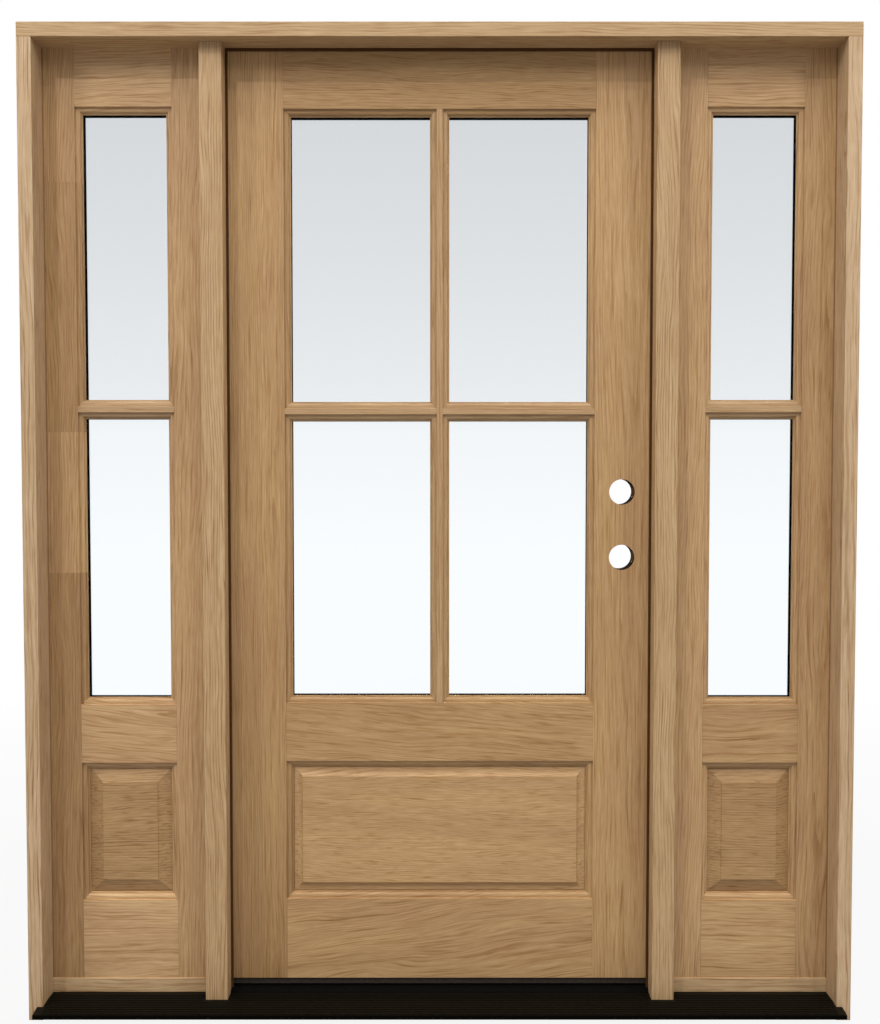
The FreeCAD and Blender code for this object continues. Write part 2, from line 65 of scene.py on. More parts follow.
facing = 0.5                                   # a face looks along an axis past this share of its normal
bodyOf = {node: body for body, nodes in frame["record"]["behaviour"]["bodies"].items() for node in nodes}


# colours are written as sRGB hex and handed to the shaders as linear light
def linear(hexCode, power=1.0):
    channels = [int(hexCode[i:i + 2], 16) / 255 for i in (0, 2, 4)]
    channels = [c / 12.92 if c <= 0.04045 else ((c + 0.055) / 1.055) ** 2.4 for c in channels]
    return (*[c ** power for c in channels], 1.0)


# finished oak turns warmer as it darkens: red falls least and blue most
oakWarmth = (0.85, 1.0, 1.35)


def oakTone(tone):
    return [tone ** power for power in oakWarmth]


def shade(hexCode, tone):
    return (*[c * share for c, share in zip(linear(hexCode), oakTone(tone))], 1.0)


# adds a node, sets its properties and sockets, and links what feeds it
def addNode(tree, kind, settings=None, links=None):
    node = tree.nodes.new(kind)
    for key, value in (settings or {}).items():
        if isinstance(key, int) or key in node.inputs:
            node.inputs[key].default_value = value
        else:
            setattr(node, key, value)
    for key, source in (links or {}).items():
        tree.links.new(source, node.inputs[key])
    return node


# a material with an empty node tree
def newMaterial(title):
    material = bpy.data.materials.new(title)
    material.use_nodes = True
    material.node_tree.nodes.clear()
    return material, material.node_tree


def setStops(ramp, stops):
    stops = list(stops)
    elements = ramp.color_ramp.elements
    while len(elements) < len(stops):
        elements.new(1.0)
    for element, (place, colour) in zip(elements, stops):
        element.position = place
        element.color = colour


def pieceName(node):
    first, *rest = node.split("_")
    return first + "".join(word.capitalize() for word in rest)


# white oak, sawn, moulded and finished clear satin: a smooth tan ground with thin dark dashes along the
# grain and paler ones beside them, finer fibres, rings that come and go, and soft patches of honey and
# grey-brown
oakGrain = {
    "bendAcross": 80, "bendAlong": 420,        # mm, how far apart the grain bends
    "fibreAcross": 2.2, "fibreAlong": 34,      # drawn several times as coarse as real fibres, to show
    "bandAcross": 55, "bandAlong": 420,
    "depthShare": 1.5,                         # the pattern changes this much slower through the board
    "dashStops": (0.26, 0.43, 0.56, 0.72),     # noise at which a dash is dark, gone, still gone and pale
    "ringWander": 4.5, "ringDrift": 26,        # how far a ring strays, and how much slower lengthways
    "ringLine": (0.06, 0.4),                   # share of a ring that is open, dark wood, and where it ends
    "radiansPerScale": 20,                     # a wave texture turns this far over one unit at scale 1
    "fadeAcross": 14, "fadeAlong": 130,        # mm, the rings' lines come and go over this
    "fadeSpan": (0.36, 0.62), "faintest": 0.15,
    "pithAside": 70, "pithBehind": (35, 110),  # mm from the middle of a board to the heart of the tree
    "cutFrom": 9000,                           # mm, boards are cut anywhere within this
    "spliceShift": (5000, 0, 9000),            # mm, each length of a pieced stile comes from elsewhere
    "rough": (0.46, 0.62), "poreDepth": 0.2, "poreStrength": 0.2,
}


def oakMaterial(title, centre, level, look):
    material, tree = newMaterial(title)
    place = addNode(tree, "ShaderNodeTexCoord").outputs["Object"]
    scale = 1 / millimetre
    middle = addNode(tree, "ShaderNodeMapping",
                     {"Scale": (scale,) * 3, "Location": [-c * scale for c in centre]}, {"Vector": place})
    turn = (math.radians(look["tilt"]), math.radians(look["slant"] + (90 if level else 0)), 0)
    board = addNode(tree, "ShaderNodeMapping", {"Rotation": turn, "Location": look["start"]},
                    {"Vector": middle.outputs[0]}).outputs[0]

    # tone along the height of a board; a stile pieced from short lengths changes grain at each splice
    if look["along"]:
        height = addNode(tree, "ShaderNodeSeparateXYZ", {}, {0: place}).outputs["Z"]
        run = addNode(tree, "ShaderNodeMapRange", {"From Max": cadBox[1].z}, {"Value": height})
        lengths = addNode(tree, "ShaderNodeValToRGB", {}, {"Fac": run.outputs[0]})
        lengths.color_ramp.interpolation = "CONSTANT" if look["pieced"] else "LINEAR"
        setStops(lengths, [(z / cadBox[1].z, (*oakTone(tone), 1.0)) for z, tone in look["along"].items()])
        if look["pieced"]:
            board = addNode(tree, "ShaderNodeVectorMath",
                            {"operation": "MULTIPLY_ADD", 1: oakGrain["spliceShift"]},
                            {0: lengths.outputs["Color"], 2: board}).outputs[0]

    # the grain runs along Z of the board from here on
    def grainNoise(source, across, along, detail):
        pace = (1 / across, 1 / (across * oakGrain["depthShare"]), 1 / along)
        stretched = addNode(tree, "ShaderNodeVectorMath", {"operation": "MULTIPLY", 1: pace}, {0: source})
        return addNode(tree, "ShaderNodeTexNoise", {"Scale": 1.0, "Detail": detail, "Roughness": 0.5},
                       {"Vector": stretched.outputs[0]}).outputs["Fac"]

    bend = grainNoise(board, oakGrain["bendAcross"], oakGrain["bendAlong"], 2.0)
    sway = addNode(tree, "ShaderNodeCombineXYZ", {}, {"X": bend})
    bent = addNode(tree, "ShaderNodeVectorMath", {"operation": "MULTIPLY_ADD", 1: (look["bend"], 0, 0)},
                   {0: sway.outputs[0], 2: board}).outputs[0]
    dashes = addNode(tree, "ShaderNodeValToRGB", {}, {"Fac": grainNoise(bent, *look["dash"], 1.0)})
    grounds = [shade(look[key], look["tone"]) for key in ("deep", "mid", "mid", "pale")]
    setStops(dashes, zip(oakGrain["dashStops"], grounds))
    fibres = grainNoise(bent, oakGrain["fibreAcross"], oakGrain["fibreAlong"], 2.0)
    # growth rings about a pith behind the board: arches in the middle of a face, long lines at its sides
    squeeze = (1, 1, 1 / oakGrain["ringDrift"])
    toPith = [p - s * q for p, s, q in zip(look["pith"], look["start"], squeeze)]
    fromPith = addNode(tree, "ShaderNodeVectorMath",
                       {"operation": "MULTIPLY_ADD", 1: squeeze, 2: toPith}, {0: bent})
    ringScale = 2 * math.pi / (oakGrain["radiansPerScale"] * look["ring"])
    rings = addNode(tree, "ShaderNodeTexWave",
                    {"wave_type": "RINGS", "rings_direction": "Z", "wave_profile": "SAW",
                     "Scale": ringScale, "Distortion": oakGrain["ringWander"],
                     "Detail": 4.0, "Detail Scale": 1.0, "Detail Roughness": 0.6},
                    {"Vector": fromPith.outputs[0]}).outputs["Fac"]
    shows = grainNoise(bent, oakGrain["fadeAcross"], oakGrain["fadeAlong"], 2.0)
    fade = addNode(tree, "ShaderNodeMapRange",
                   {"From Min": oakGrain["fadeSpan"][0], "From Max": oakGrain["fadeSpan"][1],
                    "To Min": oakGrain["faintest"]}, {"Value": shows})
    bands = grainNoise(bent, oakGrain["bandAcross"], oakGrain["bandAlong"], 2.0)
    colour = dashes.outputs["Color"]
    casts = [(fibres, noiseSpan, "FFFFFF", look["fibre"], {}),
             (rings, oakGrain["ringLine"], look["line"], "FFFFFF", {0: fade.outputs[0]}),
             (bands, noiseSpan, look["honey"], look["umber"], {})]
    for source, stops, first, last, strength in casts:
        cast = addNode(tree, "ShaderNodeValToRGB", {}, {"Fac": source})
        setStops(cast, zip(stops, (linear(first), linear(last))))
        colour = addNode(tree, "ShaderNodeMix", {"data_type": "RGBA", "blend_type": "MULTIPLY", 0: 1.0},
                         {6: colour, 7: cast.outputs["Color"], **strength}).outputs[2]
    if look["along"]:
        colour = addNode(tree, "ShaderNodeMix", {"data_type": "RGBA", "blend_type": "MULTIPLY", 0: 1.0},
                         {6: colour, 7: lengths.outputs["Color"]}).outputs[2]
    rough = addNode(tree, "ShaderNodeMapRange",
                    {"To Min": oakGrain["rough"][0], "To Max": oakGrain["rough"][1]}, {"Value": fibres})
    dents = addNode(tree, "ShaderNodeBump",
                    {"Strength": oakGrain["poreStrength"], "Distance": oakGrain["poreDepth"] * millimetre,
                     "invert": True}, {"Height": fibres})
    shader = addNode(tree, "ShaderNodeBsdfPrincipled", {"IOR": 1.5, "Metallic": 0.0},
                     {"Base Color": colour, "Roughness": rough.outputs[0], "Normal": dents.outputs[0]})
    addNode(tree, "ShaderNodeOutputMaterial", {}, {"Surface": shader.outputs[0]})
    return material


# edges, in mm and degrees: faces flatter than flat are joined, and sharp edges longer than shortest are eased
edgeWork = {"merge": 0.01, "flat": 0.3, "sharp": 40, "shortest": 12, "segments": 2, "smooth": 20}


# a piece is the node's own shape, merged, with its long edges eased
def easedMesh(node, ease, shortest=edgeWork["shortest"]):
    bm = bmesh.new()
    bm.from_mesh(frame["nodes"][node].data)
    bmesh.ops.remove_doubles(bm, verts=bm.verts, dist=edgeWork["merge"] * millimetre)
    bmesh.ops.dissolve_limit(bm, angle_limit=math.radians(edgeWork["flat"]), verts=bm.verts, edges=bm.edges,
                             delimit={"NORMAL"})
    sharp = [e for e in bm.edges if e.calc_face_angle(0) > math.radians(edgeWork["sharp"])
             and e.calc_length() > shortest * millimetre]
    if ease:
        bmesh.ops.bevel(bm, geom=sharp, offset=ease * millimetre, offset_type="OFFSET", affect="EDGES",
                        segments=edgeWork["segments"], profile=0.5, material=-1, clamp_overlap=False)
    return bm


# makes the object, hangs it on the body that carries it and gives it its materials; a piece that stands in
# place of a node hides that node
def finishPiece(bm, name, node, materials, slotName, inPlace=True):
    for face in bm.faces:
        face.smooth = True
    for edge in bm.edges:
        edge.smooth = edge.calc_face_angle(0) < math.radians(edgeWork["smooth"])
    mesh = bpy.data.meshes.new(name)
    bm.to_mesh(mesh)
    bm.free()
    for material in materials:
        mesh.materials.append(material)
    piece = bpy.data.objects.new(name, mesh)
    bpy.context.scene.collection.objects.link(piece)
    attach(piece, bodyOf[node])
    if inPlace:
        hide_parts(node)


# a plain material: specks, drawn coarser than real ones to show, move its tone and roughness a little
def plainMaterial(title, pale, deep, grain, rough, settings):
    material, tree = newMaterial(title)
    place = addNode(tree, "ShaderNodeTexCoord").outputs["Object"]
    specks = addNode(tree, "ShaderNodeTexNoise", {"Scale": 1 / (grain * millimetre), "Detail": 3.0},
                     {"Vector": place})
    ramp = addNode(tree, "ShaderNodeValToRGB", {}, {"Fac": specks.outputs["Fac"]})
    setStops(ramp, zip(noiseSpan, (linear(pale), linear(deep))))
    roughness = addNode(tree, "ShaderNodeMapRange", {"To Min": rough[0], "To Max": rough[1]},
                        {"Value": specks.outputs["Fac"]})
    shader = addNode(tree, "ShaderNodeBsdfPrincipled", settings,
                     {"Base Color": ramp.outputs["Color"], "Roughness": roughness.outputs[0]})
    addNode(tree, "ShaderNodeOutputMaterial", {}, {"Surface": shader.outputs[0]})
    return material


# what each kind of board looks like, and under own what one board has for itself; dash is the spacing of the
# dashes across and along the grain and ring the width of a year's growth, in mm, both drawn coarser than in
# real oak, to show; along gives the tone at heights in metres; boards that lie level are marked True
frameOak = {
    "boards": {"left_jamb": False, "right_jamb": False, "left_post": False, "right_post": False,
               "head_jamb": True, "sidelight_fillers": True},
    "ease": 1.0,
    "tilt": (-0.8, 0.8), "slant": (-0.6, 0.6),
    "look": {"bend": 40, "dash": (3.4, 110), "ring": 5.5,
             "pale": "D2B895", "mid": "C9AD88", "deep": "AF8D64", "honey": "FFFDF6", "umber": "F6F0E6",
             "fibre": "F1EBE2", "line": "C7B399", "tone": 1.0, "along": {}, "pieced": False},
    "own": {"head_jamb": {"line": "DACBB6", "tone": 0.85},
            "left_jamb": {"tone": 0.985, "honey": "FCFCFF", "umber": "F2EFEC"},
            "right_jamb": {"tone": 1.01, "honey": "FCFCFF", "umber": "F2EFEC"},
            "left_post": {"tone": 0.875}, "right_post": {"tone": 0.885}},
}
doorOak = {
    "boards": {"door_hinge_stile": False, "door_latch_stile": False, "door_upright_muntin": False,
               "door_top_rail": True, "door_mid_rail": True, "door_bottom_rail": True,
               "door_left_muntin": True, "door_right_muntin": True, "door_panel": True},
    "ease": 0.5,
    "tilt": (-0.8, 0.8), "slant": (-0.5, 0.5),
    "look": {"bend": 25, "dash": (3, 130), "ring": 4.2,
             "pale": "C9A97F", "mid": "C09F75", "deep": "A98553", "honey": "FFFCF0", "umber": "F0E9DF",
             "fibre": "F1EBE2", "line": "E1D4C1", "tone": 1.0, "along": {}, "pieced": False},
    "own": {"door_hinge_stile": {"along": {0.05: 0.69, 0.9: 0.91, 1.6: 0.94}},
            "door_latch_stile": {"along": {0.1: 0.92, 1.9: 1.03}},
            "door_upright_muntin": {"tone": 0.96, "honey": "FCFCFC", "umber": "EFEBE6"},
            "door_left_muntin": {"tone": 0.95, "honey": "FAFCFF", "umber": "EDEBEA"},
            "door_right_muntin": {"honey": "FAFCFF", "umber": "EDEBEA"},
            "door_top_rail": {"dash": (3.2, 60), "slant": -1.5, "bend": 50, "tone": 0.83},
            "door_mid_rail": {"dash": (3.2, 60), "slant": -4.5, "bend": 50, "tone": 0.9},
            "door_bottom_rail": {"dash": (4.2, 110), "slant": 8, "bend": 75, "deep": "A37F50", "tone": 0.965},
            "door_panel": {"dash": (3.2, 40), "bend": 60, "slant": -1, "pith": (160, 25, 0)}},
}
sideOak = {
    "boards": {"%s_sidelight_%s" % (side, name): level
               for side in ("left", "right")
               for name, level in {"outer_stile": False, "inner_stile": False,
                                   "top_rail": True, "mid_rail": True, "bottom_rail": True,
                                   "muntin": True, "panel": True}.items()},
    "ease": 0.5,
    "tilt": (-1.2, 1.2), "slant": (-1.5, 1.5),
    "look": {"bend": 45, "dash": (3.4, 90), "ring": 6,
             "pale": "CBAC84", "mid": "C2A27A", "deep": "AB875B", "honey": "FFFCF0", "umber": "F0E8DE",
             "fibre": "F1EBE2", "line": "DDCEBA", "tone": 1.0, "along": {}, "pieced": False},
    "own": {"left_sidelight_outer_stile": {"along": {0.0: 0.74, 0.933: 0.95, 1.231: 0.81, 1.76: 0.96},
                                           "pieced": True},
            "left_sidelight_inner_stile": {"tone": 0.99}, "right_sidelight_inner_stile": {"tone": 1.03},
            "right_sidelight_outer_stile": {"tone": 0.94},
            "left_sidelight_top_rail": {"tone": 1.07},
            "left_sidelight_muntin": {"honey": "FAFCFF", "umber": "EDEBEA"},
            "right_sidelight_muntin": {"tone": 0.91, "honey": "FAFCFF", "umber": "EDEBEA"},
            "left_sidelight_mid_rail": {"slant": -5, "bend": 90, "tone": 1.05},
            "right_sidelight_mid_rail": {"slant": 3, "bend": 90, "tone": 0.86},
            "left_sidelight_bottom_rail": {"tone": 1.16}, "right_sidelight_bottom_rail": {"tone": 0.99},
            "left_sidelight_panel": {"dash": (3.8, 38), "deep": "A58254", "line": "CFBDA4",
                                     "pith": (150, 30, 0), "tone": 0.775},
            "right_sidelight_panel": {"dash": (3.8, 38), "deep": "A58254", "line": "CFBDA4",
                                      "pith": (-170, 25, 0), "tone": 0.75}},
}
draw = random.Random(11)
saw = random.Random(4)


# each board is cut from its own place in the tree, a little off the line of its grain
def boardLook(group, node):
    aside = oakGrain["pithAside"]
    drawn = {"start": [draw.uniform(0, oakGrain["cutFrom"]) for axis in "xyz"],
             "tilt": draw.uniform(*group["tilt"]), "slant": draw.uniform(*group["slant"]),
             "pith": (saw.uniform(-aside, aside), saw.uniform(*oakGrain["pithBehind"]), 0)}
    return {**group["look"], **drawn, **group["own"].get(node, {})}


# painted shade: the walls of the lock bores are oak painted dull and nearly black for the shade inside them,
# a dark rim round the daylight
boreShadeOak = plainMaterial("oak painted dark for the shade in a bore", "2E2014", "21170E", 4, (0.85, 0.95),
                        {"IOR": 1.5, "Specular IOR Level": 0.01})
lockBores = {"node": "door_latch_stile", "inset": 35}     # mm, the walls lie further in from its edges


def markBores(bm, low, high):
    inset = lockBores["inset"] * millimetre
    for face in bm.faces:
        spot = face.calc_center_median()
        inside = low.x + inset < spot.x < high.x - inset and low.z + inset < spot.z < high.z - inset
        face.material_index = int(inside and abs(face.normal.y) < facing)


def dressBoards(group):
    for node, level in group["boards"].items():
        low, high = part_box(node)
        title = "white oak, " + node.replace("_", " ")
        oaks = [oakMaterial(title, (low + high) / 2, level, boardLook(group, node))]
        bm = easedMesh(node, group["ease"])
        if node == lockBores["node"]:
            # the walls of the lock bores take the oak with painted shade
            markBores(bm, low, high)
            oaks.append(boreShadeOak)
        finishPiece(bm, pieceName(node), node, oaks, "oak")


for group in (frameOak, doorOak, sideOak):
    dressBoards(group)
print("oak boards dressed")


# beads and stops run round a pane: cut on the mitre at each corner, so that each leg has its own grain
mitredOak = {"nodes": ("door_beads", "left_sidelight_beads", "right_sidelight_beads", "sidelight_stops"),
             "legs": {"upright": False, "level": True}}


# the separate rings in a mesh
def islandsOf(bm):
    left = set(bm.faces)
    while left:
        found, todo = set(), [left.pop()]
        while todo:
            face = todo.pop()
            found.add(face)
            near = {other for edge in face.edges for other in edge.link_faces} - found
            todo += near
            left -= near
        yield found


def cutMitres(bm):
    for faces in list(islandsOf(bm)):
        corners = [v.co for f in faces for v in f.verts]
        xs, zs = [c.x for c in corners], [c.z for c in corners]
        middle = Vector(((min(xs) + max(xs)) / 2, 0, (min(zs) + max(zs)) / 2))
        halfWide, halfTall = (max(xs) - min(xs)) / 2, (max(zs) - min(zs)) / 2
        ring = set(faces)
        for sideX in (-1, 1):
            for sideZ in (-1, 1):
                corner = middle + Vector((sideX * halfWide, 0, sideZ * halfTall))
                geom = list(ring | {e for f in ring for e in f.edges} | {v for f in ring for v in f.verts})
                cut = bmesh.ops.bisect_plane(bm, geom=geom, plane_co=corner,
                                             plane_no=Vector((sideZ, 0, -sideX)))
                ring = {g for g in cut["geom"] if isinstance(g, bmesh.types.BMFace)}
        for face in ring:
            offset = face.calc_center_median() - middle
            face.material_index = 1 if halfTall - abs(offset.z) < halfWide - abs(offset.x) else 0


for node in mitredOak["nodes"]:
    low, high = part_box(node)
    group = doorOak if node.startswith("door") else sideOak
    oaks = [oakMaterial("white oak, %s %s" % (node.replace("_", " "), word), (low + high) / 2, level,
                        boardLook(group, node))
            for word, level in mitredOak["legs"].items()]
    bm = easedMesh(node, 0)
    cutMitres(bm)
    finishPiece(bm, pieceName(node), node, oaks, "oak")
print("beads and stops dressed")


# powder-coated aluminium: nearly black seen square on, its colour lifted to a warm brown as a painted
# reflection of the door, a low sheen along the ribs
sheenPaintedBlackCoat = plainMaterial("black powder coat", "19160F", "120F0A", 4, (0.3, 0.42),
                          {"IOR": 1.5, "Specular IOR Level": 0.03})
# painted shade: the front of the nosing is the same coat painted darker, dull and quite black, because it
# faces no light
noseShadeCoat = plainMaterial("black powder coat with painted shade", "070605", "030302", 4, (0.6, 0.75),
                         {"IOR": 1.5, "Specular IOR Level": 0.02})
# the cap that the door closes on: extruded vinyl, matt black, no highlight
blackVinyl = plainMaterial("matt black vinyl", "080706", "040404", 6, (0.7, 0.85),
                           {"IOR": 1.5, "Specular IOR Level": 0.05})
# moulded composite core under the tread: dull, dark grey
sillCore = plainMaterial("grey composite core", "4A4845", "3C3A38", 6, (0.7, 0.85), {"IOR": 1.5})
# foam-backed vinyl seal: soft, matt, dark brown in the gap round the door
sealVinyl = plainMaterial("dark brown foam seal", "4E3119", "472C16", 5, (0.75, 0.9),
                          {"IOR": 1.48, "Specular IOR Level": 0.1})
# dark grey-brown extruded vinyl: a dim sheen along its fins
sweepVinyl = plainMaterial("grey-brown vinyl", "3A332C", "2C2620", 8, (0.4, 0.55),
                           {"IOR": 1.52, "Specular IOR Level": 0.2})
# black butyl spacer between the sheets: matt, no highlight
spacerBlack = plainMaterial("black spacer", "0B0B0B", "050505", 5, (0.85, 0.95),
                            {"IOR": 1.5, "Specular IOR Level": 0.02})
# rolled steel, satin nickel plated: soft grey reflections
hingeSteel = plainMaterial("satin nickel on steel", "B6B1A9", "B0ABA3", 3, (0.3, 0.38), {"Metallic": 1.0})

# materials, slot and ease in mm; a second material, with painted shade, is for the faces that look outdoors
dullPieces = {
    "sill_tread": ([sheenPaintedBlackCoat, noseShadeCoat], "black_aluminium", 0.3),
    "threshold_cap": ([blackVinyl], "black_cap", 0.8),
    "sill_base": ([sillCore], "sill_core", 0.4),
    "door_weatherstrip": ([sealVinyl], "seal", 0),
    "door_sweep": ([sweepVinyl], "sweep", 0.5),
    "door_spacers": ([spacerBlack], "spacer", 0),
    "left_sidelight_spacers": ([spacerBlack], "spacer", 0),
    "right_sidelight_spacers": ([spacerBlack], "spacer", 0),
    "hinge_frame_leaves": ([hingeSteel], "hinge_steel", 0),
    "hinge_door_leaves": ([hingeSteel], "hinge_steel", 0),
    "hinge_pins": ([hingeSteel], "hinge_steel", 0),
}
for node, (materials, slotName, ease) in dullPieces.items():
    bm = easedMesh(node, ease)
    for face in bm.faces:
        # faces that look to the front take the second material where there is one: painted shade on the
        # nosing
        face.material_index = int(len(materials) > 1 and face.normal.y < -facing)
    finishPiece(bm, pieceName(node), node, materials, slotName)
print("sill, seals and hinges dressed")

# a dull brown bead laid in the corner between each jamb and its sidelight, making a dark line along the joint
jointLineBrown = plainMaterial("dull brown joint line", "83633F", "775737", 4, (0.7, 0.85), {"IOR": 1.48})
jointBead = {"size": 2.2}                      # mm, along both faces of the corner


def addBead(bm, corner, inward, height):
    outline = ((0, 0, 0), (inward, 0, 0), (0, -1, 0))
    steps = [Vector(step) * jointBead["size"] * millimetre for step in outline]
    foot = bm.faces.new([bm.verts.new(corner + step) for step in steps])
    raised = bmesh.ops.extrude_face_region(bm, geom=[foot])["geom"]
    top = [g for g in raised if isinstance(g, bmesh.types.BMVert)]
    bmesh.ops.translate(bm, vec=(0, 0, height), verts=top)


bm = bmesh.new()
for side, inward in (("left", 1), ("right", -1)):
    jambFace = max(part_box(side + "_jamb"), key=lambda corner: corner.x * inward).x
    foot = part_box(side + "_sidelight_outer_stile")[0]
    addBead(bm, Vector((jambFace, foot.y, foot.z)), inward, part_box("head_jamb")[0].z - foot.z)
bmesh.ops.recalc_face_normals(bm, faces=bm.faces)
finishPiece(bm, "sidelightJointBeads", "left_jamb", [jointLineBrown], "seal", inPlace=False)
print("joint beads laid")

# screws that hold the hinge leaves: countersunk heads, almost flush, each with a cross recess
hingeScrew = {
    "leafGap": 1.0, "leafHeight": 101.6, "leafRoot": 12.5,     # mm, the root from the back of the knuckles
    "spots": ((-40, 8), (-16, 22), (16, 8), (40, 22)),         # up from the leaf's middle, in from its root
    "radius": 4.2, "height": 0.3, "ease": 0.1, "sides": 28,
    "armReach": 2.4, "armHalf": 0.55, "recessFloor": 0.06,
    "pieces": (("hinge_frame_leaves", "frameHingeScrews", 1), ("hinge_door_leaves", "doorHingeScrews", -1)),
}
# painted shade: the bottom of a recess sees little light, so its steel is painted dark
recessShadeSteel = plainMaterial("steel painted dark for the shade in a recess", "2B2926", "1F1D1B", 3, (0.5, 0.6), {"Metallic": 1.0})


def addLoop(bm, points):
    verts = [bm.verts.new(point) for point in points]
    return verts, [bm.edges.new((verts[i - 1], verts[i])) for i in range(len(verts))]


def addWall(bm, low, high):
    for i in range(len(low)):
        bm.faces.new((low[i - 1], low[i], high[i], high[i - 1]))


def addScrew(bm, middle, outward):
    def spot(up, along, height):
        return middle + Vector((outward * height, along, up)) * millimetre

    radius, top, ease = hingeScrew["radius"], hingeScrew["height"], hingeScrew["ease"]
    arm, thin = hingeScrew["armReach"], hingeScrew["armHalf"]
    turns = [2 * math.pi * i / hingeScrew["sides"] for i in range(hingeScrew["sides"])]
    foot, side, brim = [addLoop(bm, [spot(r * math.sin(a), r * math.cos(a), height) for a in turns])
                        for r, height in ((radius, 0), (radius, top - ease), (radius - ease, top))]
    addWall(bm, foot[0], side[0])
    addWall(bm, side[0], brim[0])
    quarter = [(thin, arm), (thin, thin), (arm, thin)]
    half = quarter + [(y, -x) for x, y in quarter]
    cross = half + [(-x, -y) for x, y in half]
    mouth, deep = [addLoop(bm, [spot(*corner, height) for corner in cross])
                   for height in (top, hingeScrew["recessFloor"])]
    addWall(bm, mouth[0], deep[0])
    # the floor of the cross recess takes the steel with painted shade
    bm.faces.new(deep[0]).material_index = 1
    bmesh.ops.triangle_fill(bm, use_beauty=True, edges=brim[1] + mouth[1])


for node, name, outward in hingeScrew["pieces"]:
    low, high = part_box(node)
    face = (low.x + high.x) / 2 - outward * hingeScrew["leafGap"] / 2 * millimetre
    halfLeaf = hingeScrew["leafHeight"] / 2 * millimetre
    bm = bmesh.new()
    for level in (low.z + halfLeaf, (low.z + high.z) / 2, high.z - halfLeaf):
        for up, inward in hingeScrew["spots"]:
            along = high.y - (hingeScrew["leafRoot"] + inward) * millimetre
            addScrew(bm, Vector((face, along, level + up * millimetre)), outward)
    bmesh.ops.recalc_face_normals(bm, faces=bm.faces)
    finishPiece(bm, name, node, [hingeSteel, recessShadeSteel], "hinge_steel", inPlace=False)
print("hinge screws driven")


# float glass in an insulating pane: hardly any reflection, clear below, and a cool grey that deepens upwards,
# a painted reflection of the room set by height
paneTintAndReflection = {
    "nodes": ("door_glass", "left_sidelight_glass", "right_sidelight_glass"),
    "stops": {650: "F9FDFF", 980: "F9FDFF", 1240: "F2F6F8",    # by height in mm
              1310: "E9EDF0", 1600: "DEE2E4", 1900: "D5D9DC"},
    "sheets": 2,                                               # each sheet carries its share of the tint
    "mirror": "303030",
    "ease": 0.3, "shortest": 3,                                # mm
}


def paneMaterial():
    material, tree = newMaterial("float glass with a painted reflection")
    place = addNode(tree, "ShaderNodeTexCoord").outputs["Object"]
    height = addNode(tree, "ShaderNodeSeparateXYZ", {}, {0: place}).outputs["Z"]
    levels = list(paneTintAndReflection["stops"])
    share = addNode(tree, "ShaderNodeMapRange",
                    {"From Min": levels[0] * millimetre, "From Max": levels[-1] * millimetre},
                    {"Value": height})
    # painted reflection: the pane turns greyer with height
    ramp = addNode(tree, "ShaderNodeValToRGB", {}, {"Fac": share.outputs[0]})
    setStops(ramp, [((z - levels[0]) / (levels[-1] - levels[0]), linear(tint, 1 / paneTintAndReflection["sheets"]))
                    for z, tint in paneTintAndReflection["stops"].items()])
    shader = addNode(tree, "ShaderNodeBsdfPrincipled",
                     {"IOR": 1.52, "Specular Tint": linear(paneTintAndReflection["mirror"]), "Roughness": 0.0,
                      "Transmission Weight": 1.0}, {"Base Color": ramp.outputs["Color"]})
    addNode(tree, "ShaderNodeOutputMaterial", {}, {"Surface": shader.outputs[0]})
    return material


floatGlass = paneMaterial()
for node in paneTintAndReflection["nodes"]:
    bm = easedMesh(node, paneTintAndReflection["ease"], paneTintAndReflection["shortest"])
    finishPiece(bm, pieceName(node), node, [floatGlass], "glass")
print("panes dressed")


# camera, found from the edges of the frame, the posts and the rails in the photograph
shot = {"place": (0.0007, -2.3992, 1.1563), "pitch": 2.11, "lens": 39.81, "sensor": 36}
camera = bpy.data.objects.new("camera", bpy.data.cameras.new("camera"))
camera.data.lens = shot["lens"]
camera.data.sensor_width = shot["sensor"]
camera.location = shot["place"]
camera.rotation_euler = (math.radians(90 - shot["pitch"]), 0, 0)
bpy.context.scene.collection.objects.link(camera)
bpy.context.scene.camera = camera

# two lamps high up in front, a soft one at each side, wide ones at the ceiling and behind, and a sky that is
# brightest overhead; each lamp has its place, its watts and its width, in metres
studio = {
    "lamps": {"leftLamp": ((-2.75, -4.2, 6.1), 108, 0.24), "rightLamp": ((2.6, -3.6, 6.35), 60, 0.24),
              "leftSoftbox": ((-4.4, -2.6, 3.6), 54, 0.9), "rightSoftbox": ((4.2, -2.8, 3.8), 58, 0.9),
              "ceilingLamp": ((0, -3.0, 8.5), 190, 3.0), "rearLamp": ((0.8, 4.5, 5.0), 150, 2.0)},
    "lampColour": "FFFAF4", "aim": (0, 0, 1.1),
    "sky": "F8F9FF", "horizon": 0.04, "zenith": 1.3, "backdrop": "FFFFFF",
    "floorGrey": "9C9C9C", "floorWhite": 0.9,
    "floorSize": 60, "shadowReach": (1.5, 4.0),                # metres
    "floorDrop": 0.2,                                          # mm below the sill
}
for name, (place, power, size) in studio["lamps"].items():
    lamp = bpy.data.objects.new(name, bpy.data.lights.new(name, "AREA"))
    lamp.data.shape = "DISK"
    lamp.data.size = size
    lamp.data.energy = power
    lamp.data.color = linear(studio["lampColour"])[:3]
    lamp.location = place
    lamp.rotation_euler = (Vector(studio["aim"]) - Vector(place)).to_track_quat("-Z", "Y").to_euler()
    bpy.context.scene.collection.objects.link(lamp)


# what the lens sees directly, in a mirror or through glass
def seenRays(tree):
    path = addNode(tree, "ShaderNodeLightPath")
    seen = addNode(tree, "ShaderNodeMath", {"operation": "MAXIMUM"},
                   {0: path.outputs["Is Camera Ray"], 1: path.outputs["Is Glossy Ray"]})
    return addNode(tree, "ShaderNodeMath", {"operation": "MAXIMUM"},
                   {0: seen.outputs[0], 1: path.outputs["Is Transmission Ray"]}).outputs[0]


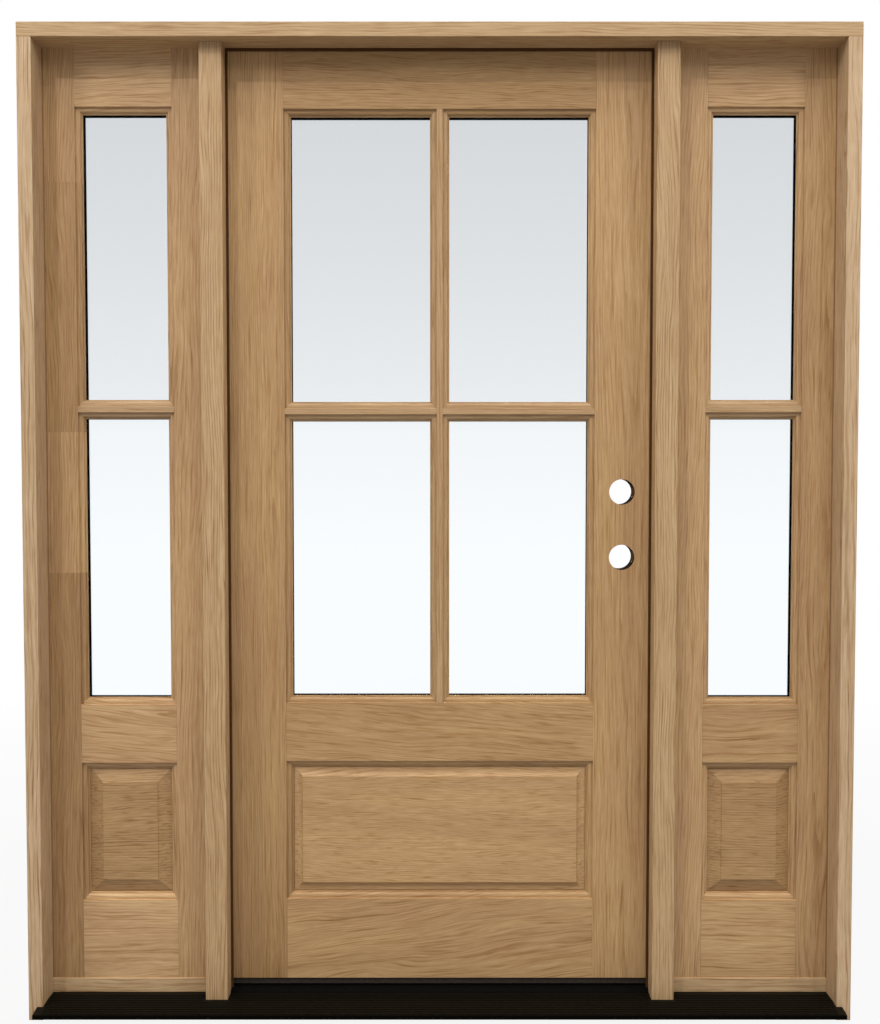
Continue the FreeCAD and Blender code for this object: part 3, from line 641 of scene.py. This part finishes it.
world = bpy.data.worlds.new("white studio")
world.use_nodes = True
world.node_tree.nodes.clear()
bpy.context.scene.world = world
way = addNode(world.node_tree, "ShaderNodeTexCoord").outputs["Object"]
rise = addNode(world.node_tree, "ShaderNodeSeparateXYZ", {}, {0: way}).outputs["Z"]
bright = addNode(world.node_tree, "ShaderNodeMapRange",
                 {"To Min": studio["horizon"], "To Max": studio["zenith"]}, {"Value": rise})
sky = addNode(world.node_tree, "ShaderNodeBackground", {"Color": linear(studio["sky"])},
              {"Strength": bright.outputs[0]})
backdrop = addNode(world.node_tree, "ShaderNodeBackground",
                   {"Color": linear(studio["backdrop"]), "Strength": 1.0})
mixed = addNode(world.node_tree, "ShaderNodeMixShader", {},
                {0: seenRays(world.node_tree), 1: sky.outputs[0], 2: backdrop.outputs[0]})
addNode(world.node_tree, "ShaderNodeOutputWorld", {}, {"Surface": mixed.outputs[0]})

# matt pale floor that keeps a faint shadow and turns to plain white beyond its reach
floorPaint, floorTree = newMaterial("matt white floor")
matt = addNode(floorTree, "ShaderNodeBsdfDiffuse", {"Color": linear(studio["floorGrey"])})
glow = addNode(floorTree, "ShaderNodeEmission", {"Color": linear(studio["backdrop"]), "Strength": 1.0})
place = addNode(floorTree, "ShaderNodeTexCoord").outputs["Object"]
away = addNode(floorTree, "ShaderNodeVectorMath", {"operation": "LENGTH"}, {0: place})
fade = addNode(floorTree, "ShaderNodeMapRange",
               {"From Min": studio["shadowReach"][0], "From Max": studio["shadowReach"][1],
                "To Min": studio["floorWhite"]}, {"Value": away.outputs["Value"]})
seen = addNode(floorTree, "ShaderNodeMath", {"operation": "MULTIPLY"},
               {0: fade.outputs[0], 1: seenRays(floorTree)})
paint = addNode(floorTree, "ShaderNodeMixShader", {},
                {0: seen.outputs[0], 1: matt.outputs[0], 2: glow.outputs[0]})
addNode(floorTree, "ShaderNodeOutputMaterial", {}, {"Surface": paint.outputs[0]})
bm = bmesh.new()
bmesh.ops.create_grid(bm, x_segments=1, y_segments=1, size=studio["floorSize"] / 2)
floorMesh = bpy.data.meshes.new("floor")
bm.to_mesh(floorMesh)
bm.free()
floorMesh.materials.append(floorPaint)
floor = bpy.data.objects.new("floor", floorMesh)
floor.location.z = cadBox[0].z - studio["floorDrop"] * millimetre
bpy.context.scene.collection.objects.link(floor)
bpy.context.scene.view_settings.view_transform = "Standard"
print("camera and light set")
